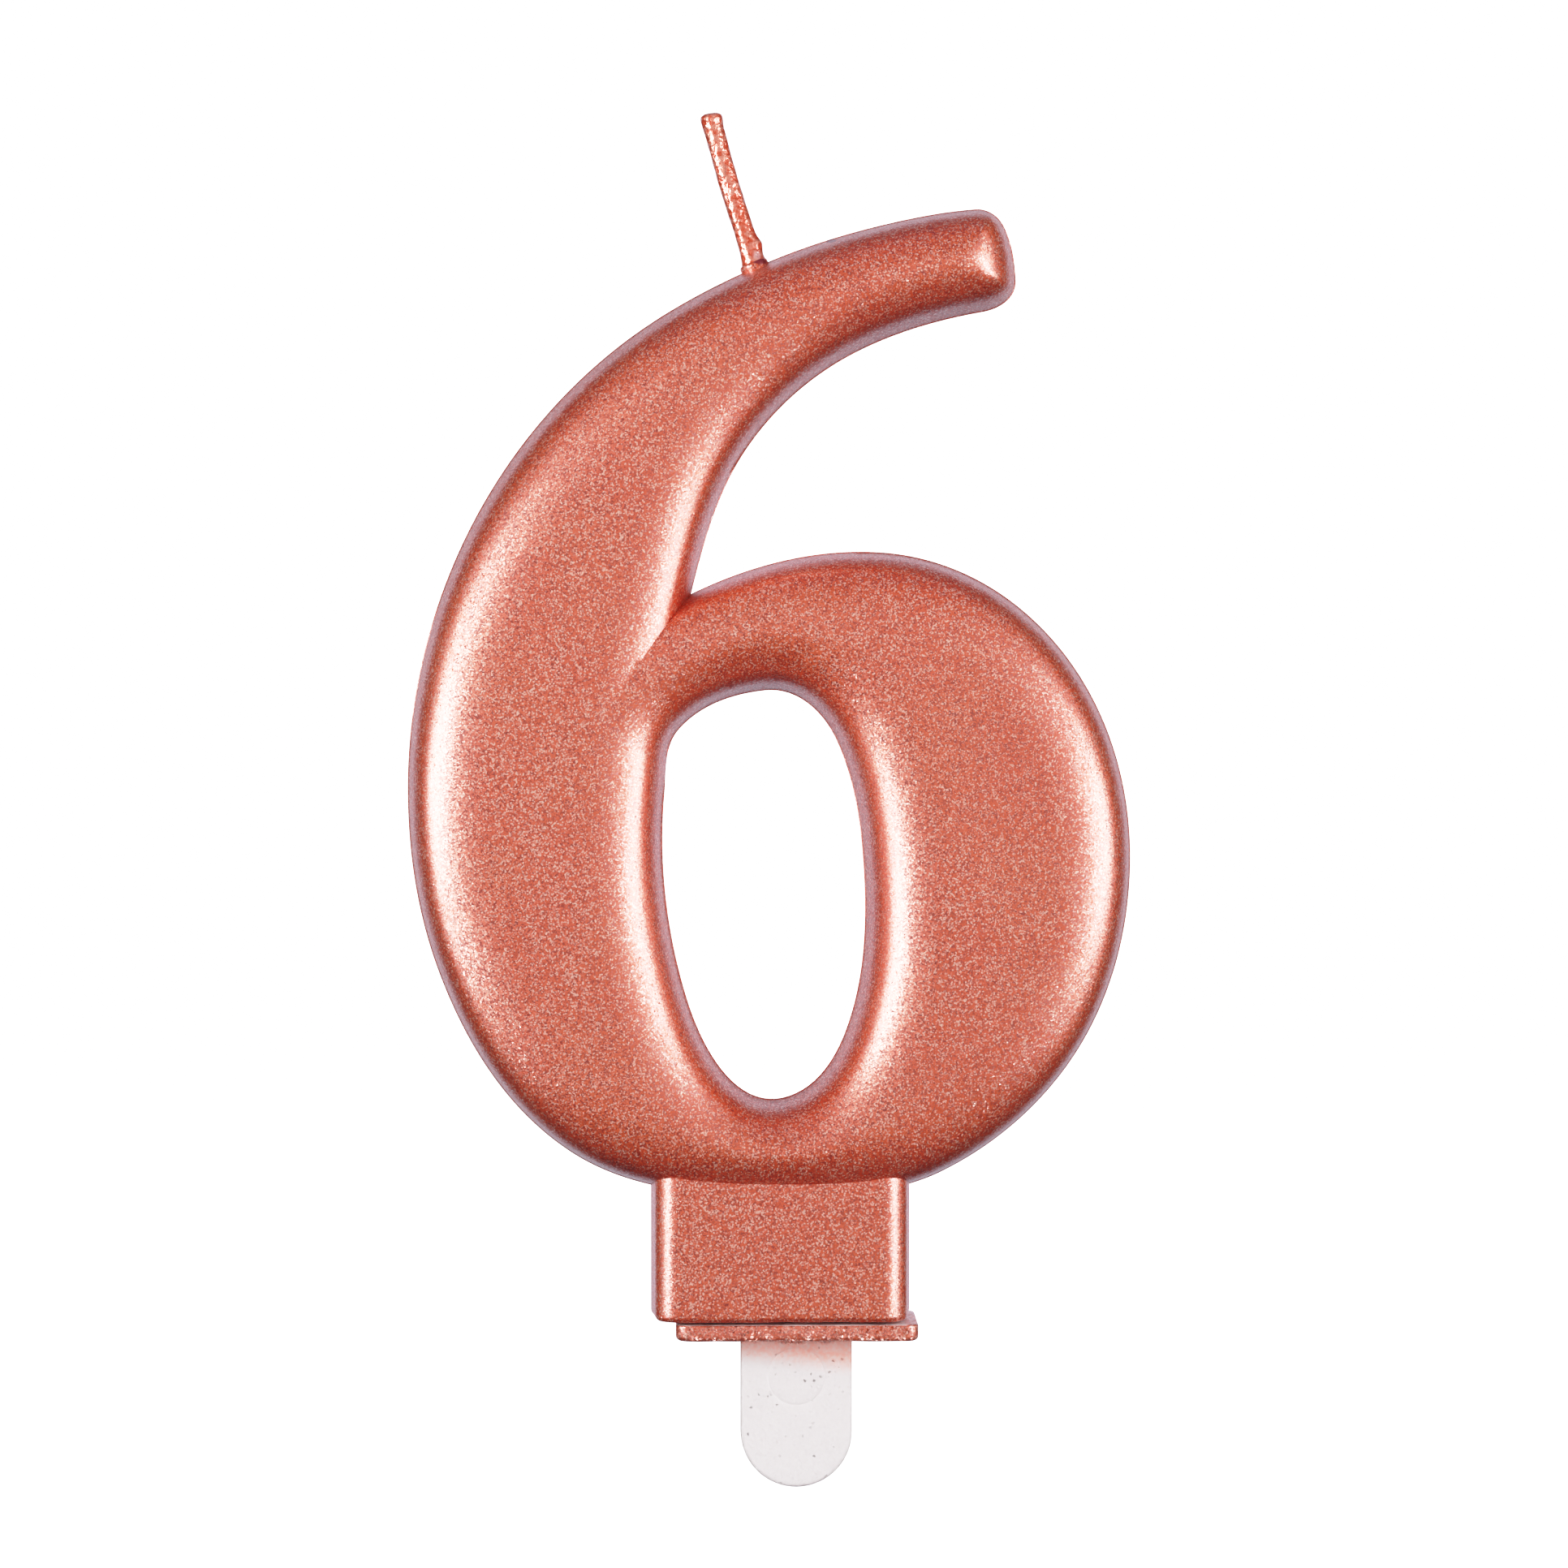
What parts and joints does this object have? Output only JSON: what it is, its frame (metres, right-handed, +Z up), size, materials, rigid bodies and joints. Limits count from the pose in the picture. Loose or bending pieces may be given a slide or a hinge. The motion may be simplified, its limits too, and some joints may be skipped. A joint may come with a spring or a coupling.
{
  "type": "number birthday candle",
  "caption": "Figure-six birthday candle of lacquered wax with a domed section, a twisted wick and a flat plastic cake pick plugged into its foot.",
  "frame": {"origin": "centre of the cake pick at the underside of its flange, where the pick enters the cake", "axes": "+Z up along the pick to the wick, +X to the right as the figure is read, -Y towards the reader; Y = 0 is the mould's parting plane"},
  "size_m": [0.0488, 0.0122, 0.0927],
  "materials": {
    "rose_gold_wax": "fine metallic rose-gold lacquer with a soft sparkle, sprayed over moulded paraffin wax",
    "wick_yarn": "twisted cotton stiffened with wax and sprayed with the same metallic lacquer",
    "pick_plastic": "translucent white moulded plastic, satin, with lacquer overspray on the flange and at the top of the tab"
  },
  "bodies": {
    "pick": {"cake_pick": "pick_plastic"},
    "candle": {"wax_body": "rose_gold_wax", "wick_seal_drop": "rose_gold_wax", "wick_embedded_yarn_1": "wick_yarn", "wick_embedded_yarn_2": "wick_yarn", "wick_embedded_yarn_3": "wick_yarn"},
    "wick_tip": {"wick_exposed_yarn_1": "wick_yarn", "wick_exposed_yarn_2": "wick_yarn", "wick_exposed_yarn_3": "wick_yarn"}
  },
  "joints": [
    {"name": "candle_lift", "type": "slide", "parent": "pick", "child": "candle", "axis": [0, 0, 1], "range_m": [0, 0.01]},
    {"name": "wick_bend", "type": "hinge", "parent": "candle", "child": "wick_tip", "pos_m": [-0.00299, 0, 0.07307], "axis": [0, 1, 0], "range_deg": [-45, 45]}
  ]
}
